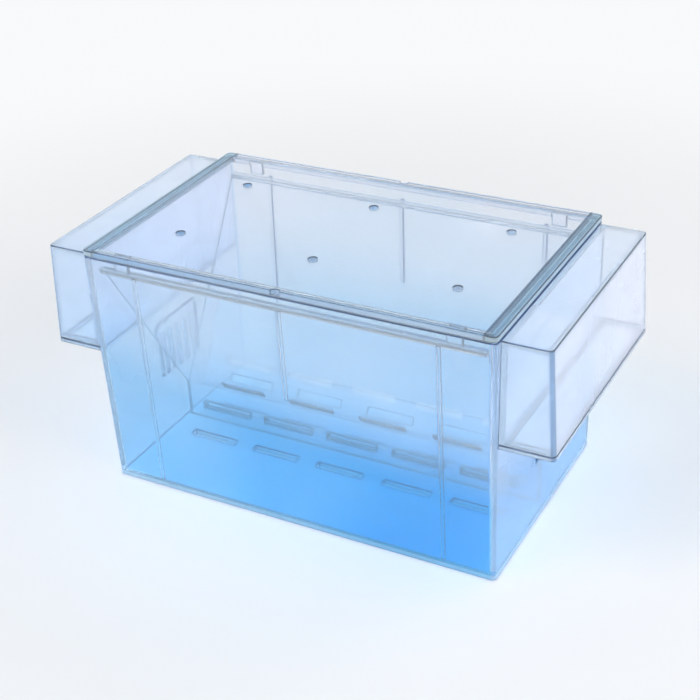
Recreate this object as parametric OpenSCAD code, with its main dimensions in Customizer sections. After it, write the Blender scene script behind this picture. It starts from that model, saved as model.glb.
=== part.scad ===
// Floating breeding trap: a clear tank with an air chamber on each end, a flat lid and
// a removable V-shaped insert that newborn fry drop through.
// X is the tank's length, Y its width and Z is up. The origin is under the middle of
// the tank, on the plane that the tank stands on.

/* [Tank] */
// Length of the tank along its rim, outside
tank_l = 161; // [130:1:200]
// Width of the tank across its rim, outside
tank_w = 100; // [85:1:130]
// Height of the tank from the floor it stands on to its rim
tank_h = 96.1; // [85:0.1:120]
// Thickness of the tank's walls
wall_t = 2.2; // [1.6:0.1:3]
// Thickness of the tank's floor
floor_t = 2.4; // [1.8:0.1:3.5]
// How far each end wall leans in from the rim to the foot
end_draft = 0.9; // [0.3:0.1:2]
// How far each long wall leans in from the rim to the foot
side_draft = 2.4; // [1:0.1:3]
// Radius of the upright corners, outside
corner_r = 1.8; // [1:0.1:3]
// Radius of the upright corners, inside
inner_corner_r = 1; // [0.5:0.1:2]

/* [Wall ribs] */
// Width of the upright ribs on the long walls
rib_w = 1.4; // [1:0.1:2.5]
// How far the ribs stand out from the wall
rib_d = 0.8; // [0.4:0.1:1.2]
// Distance from the end of the tank to the middle of each outer rib
rib_end = 20.9; // [19:0.1:35]
// Distance from the rim to the top of the ribs
rib_top_gap = 5.8; // [4:0.1:12]
// Length of the short rib in the middle of each long wall
mid_rib_h = 36; // [20:1:50]

/* [End vents] */
// Width of the raised arch round the vents, outside
arch_w = 29; // [22:0.1:40]
// Height of the arch's top above the foot of the tank
arch_top = 51.6; // [46:0.1:54]
// Height of the arch from the feet of its legs to its top
arch_h = 24.5; // [22:0.5:27]
// Width of the arch's rib
arch_rib_w = 1.8; // [1:0.1:2.5]
// Radius of the arch's shoulders, outside
arch_corner_r = 3; // [2.6:0.1:8]
// How far the arch stands out from the end wall
arch_d = 1; // [0.4:0.1:1.2]
// Number of vent slots in each end wall
vent_count = 5; // [3:1:6]
// Width of a vent slot
vent_w = 1.8; // [1:0.1:2.2]
// Height of a vent slot
vent_h = 18.5; // [12:0.5:20]

/* [Floor slots] */
// Length of a floor slot
floor_slot_l = 20; // [12:0.5:22]
// Width of a floor slot
floor_slot_w = 3; // [1.5:0.1:3.8]
// Distance between the middles of neighbouring slots in a row
floor_slot_pitch = 28.7; // [24:0.1:34]
// Least distance from the ends of a row to the end walls
floor_slot_margin = 8; // [4:0.5:20]
// Distance from the middle of the tank to each row
floor_slot_y = 11.8; // [8:0.1:24]

/* [Floats] */
// How far a float stands out from the tank at its top
float_out = 17.5; // [12:0.1:30]
// How much further the float's outer face stands out at its foot
float_flare = 2.1; // [0.5:0.1:4]
// Height of a float
float_h = 40.7; // [30:0.1:42]
// How far the float's front and rear faces stand in from the tank's long sides
float_inset = 2.35; // [2:0.05:8]
// How far the float's front and rear faces lean in from foot to top
float_side_draft = 0.5; // [0.2:0.1:1.5]
// Radius of the float's upright corners, outside
float_corner_r = 1.8; // [1:0.1:4]
// Least radius of the upright corners inside the float
float_inner_r = 0.4; // [0.2:0.1:1]
// Thickness of the float's walls
float_t = 1.8; // [1.2:0.1:2.5]
// Thickness of the plate that closes the float from below
float_cover_t = 1.8; // [1.2:0.1:3]
// Height of the locating lip on that plate
cover_lip_h = 1.8; // [1:0.1:4]
// Thickness of that lip
cover_lip_t = 1.2; // [0.8:0.1:2]
// Clearance between that lip and the float's walls
cover_lip_gap = 0.15; // [0.1:0.05:0.4]

/* [Lid] */
// Thickness of the lid
lid_t = 2.2; // [1.6:0.1:3.5]
// Gap between the lid and the tank's rim
lid_gap = 0.3; // [0.2:0.05:0.6]
// Height of the lid's locating lip
lid_lip_h = 2; // [1:0.1:3.5]
// Thickness of that lip
lid_lip_t = 1.3; // [0.8:0.1:2]
// Clearance between that lip and the tank's walls
lid_lip_gap = 0.5; // [0.3:0.05:1]
// Width of a locating tab
tab_w = 6; // [4:0.1:10]
// Distance from the lid's underside to the foot of a tab
tab_h = 5.4; // [4:0.1:8]
// Thickness of a tab
tab_t = 1.6; // [1:0.1:2.5]
// Distance from the end of the lid to the middle of a tab
tab_end = 15.5; // [10:0.1:17]
// Radius of an air hole
air_hole_r = 1.5; // [1:0.1:2]
// Distance between neighbouring air holes along the lid
air_hole_pitch_x = 55.3; // [30:0.1:56]
// Distance between the two rows of air holes
air_hole_pitch_y = 47; // [30:0.1:60]
// Radius of the lifting notch in each long edge
notch_r = 1.6; // [1:0.1:1.8]

/* [V insert] */
// Thickness of the insert's panels
insert_t = 1.8; // [1.2:0.1:2.4]
// Height of the bend where the slope meets the foot, above the foot of the tank
apex_z = 19.2; // [16:0.1:26]
// Clearance between the insert's foot and the tank's floor
foot_gap = 0.3; // [0.2:0.1:1]
// Clearance between the insert's top and the lid's tabs
insert_top_gap = 0.4; // [0.3:0.1:1.5]
// Width of the flat flange along the top of each panel
flange_w = 3.2; // [2:0.1:6]
// Clearance between the flange and the ribs on the long walls
flange_gap = 0.5; // [0.3:0.1:1.2]
// Clearance between each end of the insert and what stands out from the end walls
insert_end_gap = 0.6; // [0.4:0.1:2]
// Length of a slot in the slope
slope_slot_l = 19; // [12:0.5:22]
// Width of a slot in the slope, measured up the slope
slope_slot_w = 3; // [1.5:0.1:3.8]
// Distance between the middles of neighbouring slots in the slope
slope_slot_pitch = 31.1; // [26:0.1:36]
// Least distance from the ends of the row to the ends of the panel
slope_slot_margin = 8; // [4:0.5:20]
// Distance up the slope from the bend to the lower edge of its slots
slope_slot_up = 4; // [3:0.1:10]
// Length of a slot in the foot
foot_slot_l = 21.4; // [12:0.1:22]
// Height of a slot in the foot
foot_slot_h = 3; // [1.5:0.1:3.8]
// Distance between the middles of neighbouring slots in the foot
foot_slot_pitch = 28.7; // [25:0.1:34]
// Least distance from the ends of the row to the ends of the foot
foot_slot_margin = 6; // [4:0.5:20]
// Distance from the foot's lower edge to the middle of its slots
foot_slot_z = 6.2; // [4:0.1:8]

/* [Smoothness] */
// Number of facets in a full circle on the rounded corners
corner_facets = 24; // [16:8:48]
// Number of facets in a full circle on the holes
hole_facets = 48; // [24:12:72]

/* [Hidden] */

// How far a cut runs past the face it opens through
cut = 1;

// Heights
float_z = tank_h - float_h;
lid_z = tank_h + lid_gap;
tab_z = lid_z - tab_h;
insert_top = tab_z - insert_top_gap;
insert_foot = floor_t + foot_gap;
rib_top = tank_h - rib_top_gap;

// Places along the tank
rib_x = tank_l / 2 - rib_end;
tab_x = tank_l / 2 - tab_end;

// Half of the tank's inside at a height, without its ribs
function inner_x(z) = tank_l / 2 - wall_t - end_draft * (tank_h - z) / tank_h;
function inner_y(z) = tank_w / 2 - wall_t - side_draft * (tank_h - z) / tank_h;

// The float's outside at a height above its foot: how far it stands out, and its width
function float_x(z) = float_out + float_flare * (1 - z / float_h);
function float_y(z) = tank_w - 2 * float_inset - 2 * float_side_draft * z / float_h;

// Lid lip: half of its outside
lip_x = tank_l / 2 - wall_t - lid_lip_gap;
lip_y = tank_w / 2 - wall_t - lid_lip_gap;

// Insert: its length fits between the arches at the floor, where the tank is narrowest
insert_l = 2 * (inner_x(floor_t) - arch_d - insert_end_gap);
flange_y = inner_y(insert_top - insert_t) - rib_d - flange_gap;
slope_run = flange_y - flange_w;
slope_rise = insert_top - apex_z;
slope_angle = atan2(slope_rise, slope_run);

tank_plastic = [0.80, 0.90, 0.97, 0.45];
float_plastic = [0.72, 0.82, 0.93, 0.50];
lid_plastic = [0.86, 0.94, 0.98, 0.40];
insert_plastic = [0.84, 0.92, 0.99, 0.45];

// Places of count items, pitch apart and centred on 0
function row(count, pitch) = [for (i = [0:count - 1]) (i - (count - 1) / 2) * pitch];

// Places of as many slots as a length takes with a margin left at both ends
function slot_row(length, slot_l, pitch, margin) =
    row(floor((length - 2 * margin - slot_l) / pitch) + 1, pitch);

module rounded_rect(l, w, r) {
    offset(r = r, $fn = corner_facets)
        square([l - 2 * r, w - 2 * r], center = true);
}

// A block with rounded upright corners, l0 by w0 at its foot and l1 by w1 at its top
module drafted_block(l0, w0, l1, w1, h, r) {
    linear_extrude(height = h, scale = [l1 / l0, w1 / w0], slices = 1)
        rounded_rect(l0, w0, r);
}

module tank_outside() {
    drafted_block(tank_l - 2 * end_draft, tank_w - 2 * side_draft, tank_l, tank_w, tank_h, corner_r);
}

// The tank's hollow, drawn in from the walls by in_x at the ends and in_y at the sides
module tank_hollow(in_x = 0, in_y = 0) {
    top = tank_h + cut;
    translate([0, 0, floor_t])
        drafted_block(
            2 * (inner_x(floor_t) - in_x), 2 * (inner_y(floor_t) - in_y),
            2 * (inner_x(top) - in_x), 2 * (inner_y(top) - in_y),
            top - floor_t, inner_corner_r
        );
}

// Upright ribs that follow the lean of the long walls
module wall_ribs() {
    intersection() {
        difference() {
            tank_outside();
            tank_hollow(0, rib_d);
        }
        union() {
            for (x = [-rib_x, rib_x])
                translate([x - rib_w / 2, -tank_w / 2, floor_t / 2])
                    cube([rib_w, tank_w, rib_top - floor_t / 2]);
            translate([-rib_w / 2, -tank_w / 2, rib_top - mid_rib_h])
                cube([rib_w, tank_w, mid_rib_h]);
        }
    }
}

// Outline of the arch, drawn with Y to the right and Z up: straight legs and round shoulders.
// It is drawn in by inset, and its legs are longer by extra
module arch_outline(inset, extra) {
    half_w = arch_w / 2 - inset;
    r = arch_corner_r - inset;
    foot = arch_top - arch_h - extra;
    shoulder = arch_top - arch_corner_r;
    translate([-half_w, foot])
        square([2 * half_w, shoulder - foot]);
    translate([r - half_w, foot])
        square([2 * (half_w - r), arch_top - inset - foot]);
    for (side = [-1, 1])
        translate([side * (half_w - r), shoulder])
            circle(r = r, $fn = corner_facets);
}

// Raised arch round the vents, on the inside of both end walls
module vent_arches() {
    intersection() {
        difference() {
            tank_outside();
            tank_hollow(arch_d, 0);
        }
        rotate([90, 0, 90])
            linear_extrude(height = tank_l, center = true)
                difference() {
                    arch_outline(0, 0);
                    arch_outline(arch_rib_w, cut);
                }
    }
}

// Slots through both end walls, evenly spread inside the arch
module vent_slots() {
    pitch = (arch_w - 2 * arch_rib_w) / vent_count;
    for (y = row(vent_count, pitch))
        translate([-tank_l / 2 - cut, y - vent_w / 2, arch_top - arch_h])
            cube([tank_l + 2 * cut, vent_w, vent_h]);
}

module floor_slots() {
    places = slot_row(2 * inner_x(floor_t), floor_slot_l, floor_slot_pitch, floor_slot_margin);
    for (x = places, y = [-floor_slot_y, floor_slot_y])
        translate([x - floor_slot_l / 2, y - floor_slot_w / 2, -cut])
            cube([floor_slot_l, floor_slot_w, floor_t + 2 * cut]);
}

module tank() {
    color(tank_plastic)
        difference() {
            union() {
                difference() {
                    tank_outside();
                    tank_hollow();
                }
                wall_ribs();
                vent_arches();
            }
            vent_slots();
            floor_slots();
        }
}

// A slice of the float's outline from height z0 to z1 above its foot, drawn in by inset.
// It runs through the end wall to the same distance inside, where the tank is cut away
module float_slice(z0, z1, inset) {
    translate([tank_l / 2, 0, float_z + z0])
        drafted_block(
            2 * (float_x(z0) - inset), float_y(z0) - 2 * inset,
            2 * (float_x(z1) - inset), float_y(z1) - 2 * inset,
            z1 - z0, max(float_corner_r - inset, float_inner_r)
        );
}

// A slice of the space inside the float, drawn in by inset from the float's outside and
// from the tank's end wall
module chamber_slice(z0, z1, inset) {
    difference() {
        float_slice(z0, z1, inset);
        translate([inset, 0, 0])
            tank_outside();
    }
}

module float_shell() {
    difference() {
        float_slice(float_cover_t, float_h, 0);
        chamber_slice(0, float_h - float_t, float_t);
        tank_outside();
    }
}

module float_cover() {
    lip_top = float_cover_t + cover_lip_h;
    lip_in = float_t + cover_lip_gap;
    difference() {
        union() {
            float_slice(0, float_cover_t, 0);
            difference() {
                chamber_slice(float_cover_t / 2, lip_top, lip_in);
                chamber_slice(0, lip_top + cut, lip_in + cover_lip_t);
            }
        }
        tank_outside();
    }
}

module left_float() {
    color(float_plastic)
        rotate([0, 0, 180])
            float_shell();
}

module right_float() {
    color(float_plastic)
        float_shell();
}

module left_float_cover() {
    color(float_plastic)
        rotate([0, 0, 180])
            float_cover();
}

module right_float_cover() {
    color(float_plastic)
        float_cover();
}

module lid() {
    color(lid_plastic)
        difference() {
            union() {
                translate([0, 0, lid_z])
                    linear_extrude(height = lid_t)
                        rounded_rect(tank_l, tank_w, corner_r);
                translate([0, 0, lid_z - lid_lip_h])
                    linear_extrude(height = lid_lip_h + lid_t / 2)
                        difference() {
                            rounded_rect(2 * lip_x, 2 * lip_y, inner_corner_r);
                            square([2 * (lip_x - lid_lip_t), 2 * (lip_y - lid_lip_t)], center = true);
                        }
                for (x = [-tab_x, tab_x], side = [-1, 1])
                    translate([x, side * (lip_y - tab_t / 2), tab_z + (tab_h + lid_t / 2) / 2])
                        cube([tab_w, tab_t, tab_h + lid_t / 2], center = true);
            }
            for (x = row(3, air_hole_pitch_x), y = row(2, air_hole_pitch_y))
                translate([x, y, lid_z - cut])
                    cylinder(r = air_hole_r, h = lid_t + 2 * cut, $fn = hole_facets);
            for (side = [-1, 1])
                translate([0, side * tank_w / 2, lid_z - cut])
                    cylinder(r = notch_r, h = lid_t + 2 * cut, $fn = hole_facets);
        }
}

// Half of the V insert: the section of the rear panel, drawn with Y to the right and Z up.
// The foot stands on the middle plane, the slope rises to the flange by the long wall
module panel_section() {
    // Where the sheet's outer face turns from the foot to the slope and to the flange
    turn = insert_t * tan(slope_angle / 2 - 45);
    flange_turn = insert_t * tan(slope_angle / 2);
    polygon([
        [0, insert_foot],
        [insert_t, insert_foot],
        [insert_t, apex_z + turn],
        [slope_run + flange_turn, insert_top - insert_t],
        [flange_y, insert_top - insert_t],
        [flange_y, insert_top],
        [slope_run, insert_top],
        [0, apex_z]
    ]);
}

module insert_panel() {
    difference() {
        rotate([90, 0, 90])
            linear_extrude(height = insert_l, center = true)
                panel_section();
        // Slots low in the slope, for the fry to drop through
        translate([0, 0, apex_z])
            rotate([slope_angle, 0, 0])
                for (x = slot_row(insert_l, slope_slot_l, slope_slot_pitch, slope_slot_margin))
                    translate([x - slope_slot_l / 2, slope_slot_up, -insert_t - cut])
                        cube([slope_slot_l, slope_slot_w, insert_t + 2 * cut]);
        // Slots in the foot, so that the two halves of the space under the V are one
        for (x = slot_row(insert_l, foot_slot_l, foot_slot_pitch, foot_slot_margin))
            translate([x - foot_slot_l / 2, -cut, insert_foot + foot_slot_z - foot_slot_h / 2])
                cube([foot_slot_l, insert_t + 2 * cut, foot_slot_h]);
    }
}

module insert_front_panel() {
    color(insert_plastic)
        rotate([0, 0, 180])
            insert_panel();
}

module insert_rear_panel() {
    color(insert_plastic)
        insert_panel();
}

tank();
left_float();
right_float();
left_float_cover();
right_float_cover();
lid();
insert_front_panel();
insert_rear_panel();
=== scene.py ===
import math

import bpy
from mathutils import Matrix, Vector


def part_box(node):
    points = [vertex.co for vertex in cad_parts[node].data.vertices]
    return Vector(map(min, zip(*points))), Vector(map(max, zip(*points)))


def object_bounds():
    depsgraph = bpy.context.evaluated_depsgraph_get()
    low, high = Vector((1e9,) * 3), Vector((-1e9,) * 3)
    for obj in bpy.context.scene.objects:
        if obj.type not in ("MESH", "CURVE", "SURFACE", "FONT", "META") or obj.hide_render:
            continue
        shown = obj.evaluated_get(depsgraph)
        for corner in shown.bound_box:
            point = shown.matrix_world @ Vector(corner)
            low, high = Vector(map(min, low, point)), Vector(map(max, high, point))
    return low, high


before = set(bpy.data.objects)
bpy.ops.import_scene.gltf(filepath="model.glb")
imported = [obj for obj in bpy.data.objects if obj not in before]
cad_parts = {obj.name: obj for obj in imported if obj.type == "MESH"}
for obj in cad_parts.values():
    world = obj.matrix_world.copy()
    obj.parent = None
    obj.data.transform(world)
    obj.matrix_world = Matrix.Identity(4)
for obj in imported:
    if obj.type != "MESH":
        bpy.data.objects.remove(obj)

MM = 0.001
CAD_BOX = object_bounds()
TANK_LOW, TANK_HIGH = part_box("tank")
LID_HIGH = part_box("lid")[1]

# The camera that sees the trap as it is pictured: degrees, metres and millimetres
AZIMUTH = 29.2
ELEVATION = 29.9
ROLL = 2.8
DISTANCE = 0.539
LENS = 73.2
SENSOR = 36.0
CLIP = (0.01, 50)

# The mouldings' sizes that their looks follow: the thickness of the tank's floor and of the lid's
# plate, and how far the lid's lip reaches in from its ends, over the end walls and floats
TANK_FLOOR = 2.4 * MM
LID_PLATE = 2.2 * MM
RIM_BAND = 5 * MM

# Edges that turn by more than SHARP are rounded by EDGE. Before that, points closer than WELD are
# joined, faces within FLAT of each other are made one, and the whole piece is drawn in by DRAW_IN
EDGE = 0.35 * MM
EDGE_SEGMENTS = 2
SHARP = math.radians(35)
WELD = 0.03 * MM
FLAT = math.radians(0.5)
DRAW_IN = 0.02 * MM

# What every clear plastic shares
POLYSTYRENE_IOR = 1.58
DEEP_TINT = (0.22, 0.67, 0.87, 1)
SHADOW_TINT = (0.905, 0.94, 0.967, 1)
MILK_WHITE = (0.9, 0.92, 0.96, 1)
# Where the painted blue shade of the foot starts to turn into the rim's colour, at the left and at
# the right end, and over what height it turns, both as shares of the tank's height
TURN_START = (0.4, 0.22)
TURN_HEIGHT = 0.43
# How far the foot's painted shade drifts to the rim's colour, from left to right and from front to
# back, which leaves it deepest at the front right, and how far slow clouds shift it either way
SHADE_DRIFT_RIGHT = (0.6, -0.1)
SHADE_DRIFT_BACK = (-0.12, 0.26)
CLOUD_SHIFT = 0.08
# Patterns per metre: clouds in the colour, smears and scratches in the gloss, waves in the surface
CLOUD_SCALE = 18
SMEAR_SCALE = 55
SCRATCH_SCALE = (60, 500, 500)
WAVE_SCALE = 26
SMEAR_ROUGHNESS = (0.01, 0.09)
SCRATCH_ROUGHNESS = (0, 0.1)
WAVE_STRENGTH = 0.06
# How a face looks, by its normal: from upright to level (Z), from slanting to an end face (X),
# where the end faces' painted light falls, and from flat to the middle of a rounded upright
# corner (X times Y), where the corners' painted shade falls
UPRIGHT = (0.2, 0.9)
END_FACE = (0.7, 0.98)
ROUNDED = (0.05, 0.3)
# How far end faces lean to a paler painted light, and the sides of the lid's plate to a painted
# blue shade, left and right
END_LIGHT_LEAN = 0.5
SIDE_SHADE_LEAN = (0.95, 0.4)
# Over what lengths the lid's looks and painted shade change: from its lip to the side of its
# plate, from its top to the painted shade of the bands at its two ends, and from the painted dark
# line at the middle of that to what lies beside it
PLATE_FADE = 0.3 * MM
BAND_FADE = 0.5 * MM
LINE_FADE = (0.2 * MM, 0.6 * MM)

# The plain backdrop, which the stage's floor fades to between two distances from its middle
BACKDROP = (0.94, 0.95, 0.965, 1)
FADE_START = 0.14
FADE_END = 0.5
STAGE_HALF = 6.0
STAGE_DROP = 0.2 * MM
FLOOR_GREY = (0.87, 0.875, 0.88, 1)
FLOOR_WHITE = (0.9, 0.9, 0.905, 1)

# The deep blue overhead, and how high a ray has to look to meet it: what is mirrored in plastic,
# and what is seen through it
OVERHEAD = (0.03, 0.14, 0.24, 1)
OVERHEAD_MIRRORED = 0.5
OVERHEAD_THROUGH = 0.3
OVERHEAD_RISE = 0.35
FILL = (0.95, 0.97, 1, 1)
FILL_STRENGTH = 0.45

# The soft boxes: place and size in metres, power in watts and colour
LAMP_TARGET = Vector((0, 0, 0.05))
LAMPS = {
    "key": ((-0.7, -0.9, 1.3), (0.7, 0.7), 12, (1, 0.99, 0.97)),
    "side": ((1.2, -0.3, 0.8), (0.5, 0.9), 8, (0.98, 0.98, 1)),
    "behind": ((1.0, 1.2, 1.2), (0.8, 0.5), 7, (0.97, 0.98, 1)),
}

# How often a ray passes or bounces before it ends: the walls of a clear box add up
BOUNCES = 24
CLEAR_BOUNCES = 32


def make_camera():
    """Looks at the middle of the object from the pictured angle."""
    target = (CAD_BOX[0] + CAD_BOX[1]) / 2
    a, e = math.radians(AZIMUTH), math.radians(ELEVATION)
    back = Vector((math.sin(a) * math.cos(e), -math.cos(a) * math.cos(e), math.sin(e)))
    data = bpy.data.cameras.new("camera")
    data.lens = LENS
    data.sensor_width = SENSOR
    data.clip_start, data.clip_end = CLIP
    camera = bpy.data.objects.new("camera", data)
    bpy.context.scene.collection.objects.link(camera)
    turn = (-back).to_track_quat("-Z", "Y").to_matrix().to_4x4()
    roll = Matrix.Rotation(math.radians(-ROLL), 4, "Z")
    camera.matrix_world = Matrix.Translation(target + back * DISTANCE) @ turn @ roll
    bpy.context.scene.camera = camera


# ---------------------------------------------------------------- node helpers

class Nodes:
    """The node tree of a material or world, with a short way to add and link nodes."""

    def __init__(self, owner):
        owner.use_nodes = True
        self.tree = owner.node_tree
        self.tree.nodes.clear()

    def put(self, socket, value):
        """Links a socket to an input, or sets the input to a value."""
        if isinstance(value, bpy.types.NodeSocket):
            self.tree.links.new(value, socket)
        else:
            socket.default_value = value

    def add(self, kind, values=None, **settings):
        """Adds a node, sets its settings, and sets or links its inputs by name or number."""
        node = self.tree.nodes.new(kind)
        for key, value in settings.items():
            setattr(node, key, value)
        for key, value in (values or {}).items():
            self.put(node.inputs[key], value)
        return node

    def math(self, operation, a, b=0.0, clamp=False):
        node = self.add("ShaderNodeMath", {0: a, 1: b}, operation=operation, use_clamp=clamp)
        return node.outputs[0]

    def remap(self, value, ends, to_ends, kind="LINEAR"):
        """A value between two ends, brought to where it lies between two others."""
        inputs = {
            "Value": value, "From Min": ends[0], "From Max": ends[1],
            "To Min": to_ends[0], "To Max": to_ends[1]}
        return self.add("ShaderNodeMapRange", inputs, interpolation_type=kind).outputs[0]

    def smooth_step(self, value, ends):
        return self.remap(value, ends, (0, 1), "SMOOTHSTEP")

    def noise(self, place, scale, detail, roughness=0.5):
        inputs = {"Vector": place, "Scale": scale, "Detail": detail, "Roughness": roughness}
        return self.add("ShaderNodeTexNoise", inputs).outputs["Fac"]

    def blend(self, share, a, b):
        """A colour share of the way from a to b."""
        node = self.add("ShaderNodeMix", data_type="RGBA")
        for number, value in ((0, share), (6, a), (7, b)):
            self.put(node.inputs[number], value)
        return node.outputs[2]

    def mix(self, share, a, b):
        """A shader share of the way from a to b."""
        return self.add("ShaderNodeMixShader", {0: share, 1: a, 2: b}).outputs[0]


# ---------------------------------------------------------------- materials

class PlasticNodes(Nodes):
    """The nodes of a plastic, with where on the object a shaded point lies (place and its x, y
    and z) and how its face looks (upright, along_x and turned)."""

    def __init__(self, material):
        super().__init__(material)
        self.place = self.add("ShaderNodeTexCoord").outputs["Object"]
        at = self.add("ShaderNodeSeparateXYZ", {0: self.place}).outputs
        self.x, self.y, self.z = at["X"], at["Y"], at["Z"]
        normal = self.add("ShaderNodeNewGeometry").outputs["Normal"]
        facing = self.add("ShaderNodeSeparateXYZ", {0: normal}).outputs
        self.upright = self.remap(self.math("ABSOLUTE", facing["Z"]), UPRIGHT, (1, 0))
        self.along_x = self.math("ABSOLUTE", facing["X"])
        self.turned = self.math("ABSOLUTE", self.math("MULTIPLY", facing["X"], facing["Y"]))
        self.clouds = self.noise(self.place, CLOUD_SCALE, 3)

    def from_left(self, ends):
        """A value that goes from one end to the other from the tank's left to its right."""
        return self.remap(self.x, (TANK_LOW.x, TANK_HIGH.x), ends)

    def from_front(self, ends):
        """A value that goes from one end to the other from the tank's front to its back."""
        return self.remap(self.y, (TANK_LOW.y, TANK_HIGH.y), ends)


def painted_shade_by_height(n, rim, foot, lean):
    """A painted blue shade from foot to rim, deepest at the front right of the foot, with
    slow clouds.
    """
    start = n.from_left([share * TANK_HIGH.z for share in TURN_START])
    turned = n.math("ADD", start, TURN_HEIGHT * TANK_HIGH.z)
    share = n.smooth_step(n.z, (start, turned))
    share = n.math("SUBTRACT", share, n.from_left((lean[0], 0)))
    share = n.math("SUBTRACT", share, n.from_front((lean[1], 0)), clamp=True)
    drift = n.math("ADD", n.from_left(SHADE_DRIFT_RIGHT), n.from_front(SHADE_DRIFT_BACK))
    share = n.math("ADD", share, n.math("MULTIPLY", drift, n.math("SUBTRACT", 1.0, share)))
    shift = n.remap(n.clouds, (0.3, 0.7), (-CLOUD_SHIFT, CLOUD_SHIFT))
    share = n.math("ADD", share, shift, clamp=True)
    return n.blend(share, (*foot, 1), (*rim, 1))


def plate_side(n):
    """1 on the upright faces of the lid's plate and 0 elsewhere, its lip and tabs among them."""
    foot = LID_HIGH.z - LID_PLATE
    on_plate = n.remap(n.z, (foot - PLATE_FADE, foot), (0, 1))
    return n.math("MULTIPLY", n.upright, on_plate)


def painted_light_by_form(n, tint_and_shade, end=None, side=None, band=None, line=None, corner=None):
    """Leans a colour to painted light and shade by the way a face looks and where it lies: end, a
    paler painted light, on faces that look along X, side, a painted blue shade, on the sides of the
    lid's plate, band, a painted shade, on the lid's two ends, line, a painted dark line, on the
    inner border of those bands, and corner, a painted shade, on rounded upright corners."""
    # Painted light: faces that look along X turn paler, as light from the side leaves them
    if end:
        tint_and_shade = n.blend(n.remap(n.along_x, END_FACE, (0, END_LIGHT_LEAN)), tint_and_shade, (*end, 1))
    # Painted shade: a blue on the sides of the lid's plate, deeper to the left
    if side:
        share = n.math("MULTIPLY", plate_side(n), n.from_left(SIDE_SHADE_LEAN))
        tint_and_shade = n.blend(share, tint_and_shade, (*side, 1))
    # Painted shade: a band at each of the lid's ends, over the end walls and floats
    if band:
        past = n.math("SUBTRACT", n.math("ABSOLUTE", n.x), LID_HIGH.x - RIM_BAND)
        tint_and_shade = n.blend(n.remap(past, (0, BAND_FADE), (0, 1)), tint_and_shade, (*band, 1))
        # Painted shade: a dark line along the inner border of those bands
        if line:
            off_line = n.math("ABSOLUTE", n.math("SUBTRACT", past, BAND_FADE))
            tint_and_shade = n.blend(n.remap(off_line, LINE_FADE, (1, 0)), tint_and_shade, (*line, 1))
    # Painted shade: rounded upright corners lean to a deeper blue
    if corner:
        tint_and_shade = n.blend(n.remap(n.turned, ROUNDED, (0, 1)), tint_and_shade, (*corner, 1))
    return tint_and_shade


def haze_by_form(n, haze, end_haze, side_haze, foot_haze):
    """How milky the plastic is: haze all over, with slow clouds, end_haze more on faces that look
    along X, side_haze more on the sides of the lid's plate, and foot_haze more on upright faces
    down beside the tank's floor, which paints a pale line of light along the foot."""
    clouds = n.remap(n.clouds, (0.35, 0.7), (-0.15 * haze, 0.2 * haze))
    hazy = n.math("ADD", haze, clouds)
    if side_haze:
        hazy = n.math("ADD", hazy, n.math("MULTIPLY", plate_side(n), side_haze))
    if end_haze:
        hazy = n.math("ADD", hazy, n.remap(n.along_x, END_FACE, (0, end_haze)))
    # Painted highlight: a pale line along the foot, from extra milkiness
    if foot_haze:
        beside = n.remap(n.z, (0.8 * TANK_FLOOR, TANK_FLOOR), (foot_haze, 0))
        hazy = n.math("ADD", hazy, n.math("MULTIPLY", n.upright, beside))
    return hazy


def moulded_finish(n):
    """The roughness of faint smears and fine scratches, and the bump of slight waves."""
    smears = n.noise(n.place, SMEAR_SCALE, 5, 0.6)
    stretched = n.add("ShaderNodeMapping", {"Vector": n.place, "Scale": SCRATCH_SCALE})
    scratches = n.noise(stretched.outputs[0], 1, 4, 0.7)
    smeared = n.remap(smears, (0.42, 0.75), SMEAR_ROUGHNESS)
    scratched = n.remap(scratches, (0.62, 0.8), SCRATCH_ROUGHNESS)
    waves = n.noise(n.place, WAVE_SCALE, 1)
    bump = n.add("ShaderNodeBump", {"Height": waves, "Strength": WAVE_STRENGTH, "Distance": MM})
    return n.math("ADD", smeared, scratched), bump.outputs[0]


def clear_plastic(name, rim, foot, haze, density, lean=(0, 0), end_haze=0.0, side_haze=0.0,
                  foot_haze=0.0, **painted_light_and_shade):
    """Moulded clear polystyrene, glassy and faintly milky, with its colours at the rim and foot,
    and a painted blue shade between them. density is how much light its depth takes up, and lean
    how far the rim's colour leans to the foot's painted shade at the left end and at the front. The
    other keywords are the painted light and shade of painted_light_by_form."""
    material = bpy.data.materials.new(name)
    n = PlasticNodes(material)
    tint_and_shade = painted_light_by_form(n, painted_shade_by_height(n, rim, foot, lean), **painted_light_and_shade)
    roughness, bump = moulded_finish(n)
    glass = n.add("ShaderNodeBsdfPrincipled", {
        "Base Color": tint_and_shade, "Roughness": roughness, "Normal": bump,
        "Transmission Weight": 1.0, "IOR": POLYSTYRENE_IOR}).outputs[0]
    milk_colour = n.blend(0.5, tint_and_shade, MILK_WHITE)
    milk = n.add("ShaderNodeBsdfDiffuse", {"Color": milk_colour, "Normal": bump}).outputs[0]
    glow = n.add("ShaderNodeBsdfTranslucent", {"Color": milk_colour, "Normal": bump}).outputs[0]
    hazy = haze_by_form(n, haze, end_haze, side_haze, foot_haze)
    body = n.mix(hazy, glass, n.mix(0.5, milk, glow))
    # Lamps shine through, so what lies inside is lit and the shadow is pale
    to_lamp = n.add("ShaderNodeLightPath").outputs["Is Shadow Ray"]
    clear = n.add("ShaderNodeBsdfTransparent", {"Color": SHADOW_TINT}).outputs[0]
    depth = n.add("ShaderNodeVolumeAbsorption", {"Color": DEEP_TINT, "Density": density})
    n.add("ShaderNodeOutputMaterial", {
        "Surface": n.mix(to_lamp, body, clear), "Volume": depth.outputs[0]})
    return material


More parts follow.
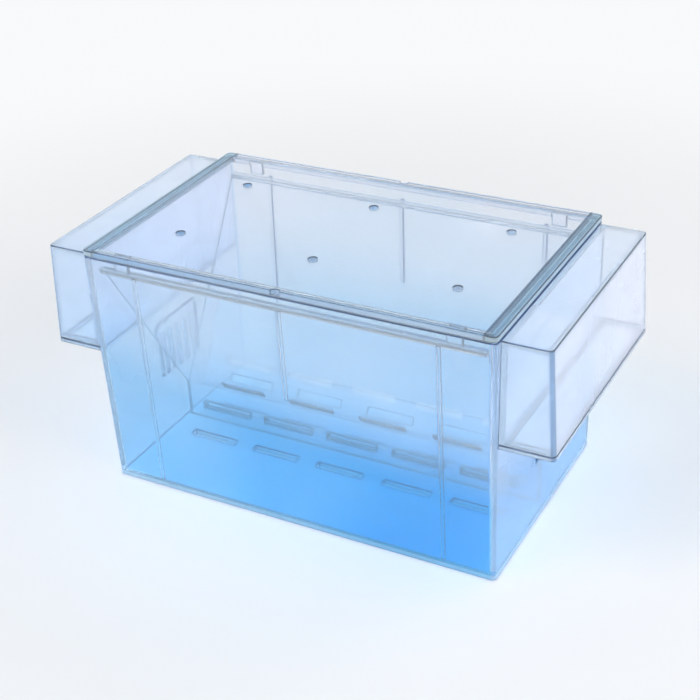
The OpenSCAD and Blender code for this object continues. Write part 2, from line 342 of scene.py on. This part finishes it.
def floor_material():
    """A pale floor with the object's shadow, which fades evenly to the backdrop."""
    material = bpy.data.materials.new("pale_floor")
    n = Nodes(material)
    place = n.add("ShaderNodeTexCoord").outputs["Object"]
    colour = n.blend(n.noise(place, 6, 2), FLOOR_GREY, FLOOR_WHITE)
    lit = n.add("ShaderNodeBsdfPrincipled", {"Base Color": colour, "Roughness": 0.6}).outputs[0]
    pale = n.add("ShaderNodeEmission", {"Color": BACKDROP, "Strength": 1.0}).outputs[0]
    away = n.add("ShaderNodeVectorMath", {0: place}, operation="LENGTH").outputs["Value"]
    share = n.smooth_step(away, (FADE_START, FADE_END))
    path = n.add("ShaderNodeLightPath").outputs
    seen = n.math("ADD", path["Is Camera Ray"], path["Is Glossy Ray"])
    seen = n.math("ADD", seen, path["Is Transmission Ray"], clamp=True)
    faded = n.math("MULTIPLY", share, seen)
    n.add("ShaderNodeOutputMaterial", {"Surface": n.mix(faded, lit, pale)})
    return material


# ---------------------------------------------------------------- pieces

def soften_edges(piece):
    """Rounds a CAD node's sharp edges, and draws it in so that glass faces don't coincide."""
    piece.modifiers.new("weld", "WELD").merge_threshold = WELD
    flat = piece.modifiers.new("flat", "DECIMATE")
    flat.decimate_type = "DISSOLVE"
    flat.angle_limit = FLAT
    shrink = piece.modifiers.new("shrink", "DISPLACE")
    shrink.strength = -DRAW_IN
    shrink.mid_level = 0
    bevel = piece.modifiers.new("bevel", "BEVEL")
    bevel.width = EDGE
    bevel.segments = EDGE_SEGMENTS
    bevel.limit_method = "ANGLE"
    bevel.angle_limit = SHARP
    bevel.use_clamp_overlap = False
    # The rounded edges take the second plastic, whose painted shade draws them as dark lines
    bevel.material = 1
    piece.modifiers.new("normals", "WEIGHTED_NORMAL").keep_sharp = True


def dress(nodes, face, edge_shade):
    """Gives nodes one plastic on their faces and another, with painted shade for dark edge lines,
    on their rounded edges.
    """
    for name in nodes:
        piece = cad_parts[name]
        piece.data.materials.clear()
        piece.data.materials.append(face)
        piece.data.materials.append(edge_shade)
        soften_edges(piece)


def dress_tank():
    # Painted shade: deep blue towards the foot, deeper rounded corners and dark edge lines; painted
    # light: paler end faces
    face = clear_plastic(
        "clear_tank_plastic", (0.95, 0.98, 1), (0.09, 0.59, 0.91), haze=0.15, density=5.0,
        lean=(0.15, 0), end_haze=0.1, foot_haze=0.5, corner=(0.5, 0.72, 0.95), end=(0.8, 0.8, 0.95))
    edge_shade = clear_plastic(
        "clear_tank_edge_shade", (0.62, 0.78, 0.94), (0.34, 0.66, 0.92), haze=0.05, density=5.0)
    dress(["tank"], face, edge_shade)


def dress_floats():
    # Painted shade: blue towards the foot, dark rounded corners and dark edge lines; painted light:
    # paler lavender end faces
    face = clear_plastic(
        "clear_float_plastic", (0.96, 0.97, 1), (0.55, 0.8, 1), haze=0.27, density=18.0,
        lean=(0.45, 0.27), corner=(0.14, 0.32, 0.6), end=(1, 0.93, 0.98))
    edge_shade = clear_plastic(
        "clear_float_edge_shade", (0.5, 0.6, 0.8), (0.5, 0.62, 0.82), haze=0.1, density=30.0)
    dress(["left_float", "right_float", "left_float_cover", "right_float_cover"], face, edge_shade)


def dress_lid():
    # Painted shade: blue towards the foot, a blue on the plate's sides, bands at the ends with a
    # dark line at their border, and dark edge lines
    face = clear_plastic(
        "clear_lid_plastic", (0.99, 0.97, 1), (0.6, 0.86, 1), haze=0.06, density=12.0,
        lean=(0.12, 0.3), side_haze=0.7, side=(0.1, 0.5, 1), band=(0.5, 0.72, 0.82),
        line=(0.02, 0.06, 0.12))
    edge_shade = clear_plastic(
        "clear_lid_edge_shade", (0.7, 0.9, 1), (0.2, 0.4, 0.6), haze=0.25, density=12.0,
        lean=(0.85, 0), band=(0.16, 0.3, 0.42))
    dress(["lid"], face, edge_shade)


def dress_insert():
    # Painted shade: a faint blue towards the foot and dark edge lines
    face = clear_plastic(
        "clear_insert_plastic", (0.96, 0.97, 1), (0.84, 0.94, 1), haze=0.1, density=12.0)
    edge_shade = clear_plastic(
        "clear_insert_edge_shade", (0.58, 0.86, 1), (0.22, 0.56, 0.76), haze=0.35, density=12.0)
    dress(["insert_front_panel", "insert_rear_panel"], face, edge_shade)


# ---------------------------------------------------------------- stage

def make_floor():
    """A wide plain floor a little below the object, so that the two don't coincide."""
    x = y = STAGE_HALF
    corners = [(-x, -y), (x, -y), (x, y), (-x, y)]
    mesh = bpy.data.meshes.new("floor")
    mesh.from_pydata([(*corner, -STAGE_DROP) for corner in corners], [], [(0, 1, 2, 3)])
    floor = bpy.data.objects.new("floor", mesh)
    bpy.context.scene.collection.objects.link(floor)
    mesh.materials.append(floor_material())


def make_lamp(name, place, size, power, colour):
    data = bpy.data.lights.new(name, "AREA")
    data.shape = "RECTANGLE"
    data.size, data.size_y = size
    data.energy = power
    data.color = colour
    lamp = bpy.data.objects.new(name, data)
    lamp.location = place
    # Flat plastic would mirror a soft box as a white sheet
    lamp.visible_glossy = False
    lamp.rotation_euler = (LAMP_TARGET - Vector(place)).to_track_quat("-Z", "Y").to_euler()
    bpy.context.scene.collection.objects.link(lamp)


def make_world():
    """A studio: pale all round, and deep blue overhead, which draws the edges of clear plastic."""
    world = bpy.data.worlds.new("studio")
    n = Nodes(world)
    path = n.add("ShaderNodeLightPath").outputs
    through = path["Is Transmission Ray"]
    seen = n.math("ADD", path["Is Glossy Ray"], through)
    seen = n.math("ADD", seen, path["Is Camera Ray"], clamp=True)
    direction = n.add("ShaderNodeTexCoord").outputs["Generated"]
    up = n.add("ShaderNodeSeparateXYZ", {0: direction}).outputs["Z"]
    start = n.remap(through, (0, 1), (OVERHEAD_MIRRORED, OVERHEAD_THROUGH))
    share = n.smooth_step(up, (start, n.math("ADD", start, OVERHEAD_RISE)))
    colour = n.blend(share, BACKDROP, OVERHEAD)
    fill = n.add("ShaderNodeBackground", {"Color": FILL, "Strength": FILL_STRENGTH}).outputs[0]
    back = n.add("ShaderNodeBackground", {"Color": colour, "Strength": 1.0}).outputs[0]
    n.add("ShaderNodeOutputWorld", {"Surface": n.mix(seen, fill, back)})
    bpy.context.scene.world = world


make_camera()
make_world()
make_floor()
for name, lamp in LAMPS.items():
    make_lamp(name, *lamp)

dress_tank()
dress_floats()
dress_lid()
dress_insert()

scene = bpy.context.scene
scene.view_settings.view_transform = "Standard"
scene.cycles.max_bounces = BOUNCES
scene.cycles.transmission_bounces = BOUNCES
scene.cycles.transparent_max_bounces = CLEAR_BOUNCES
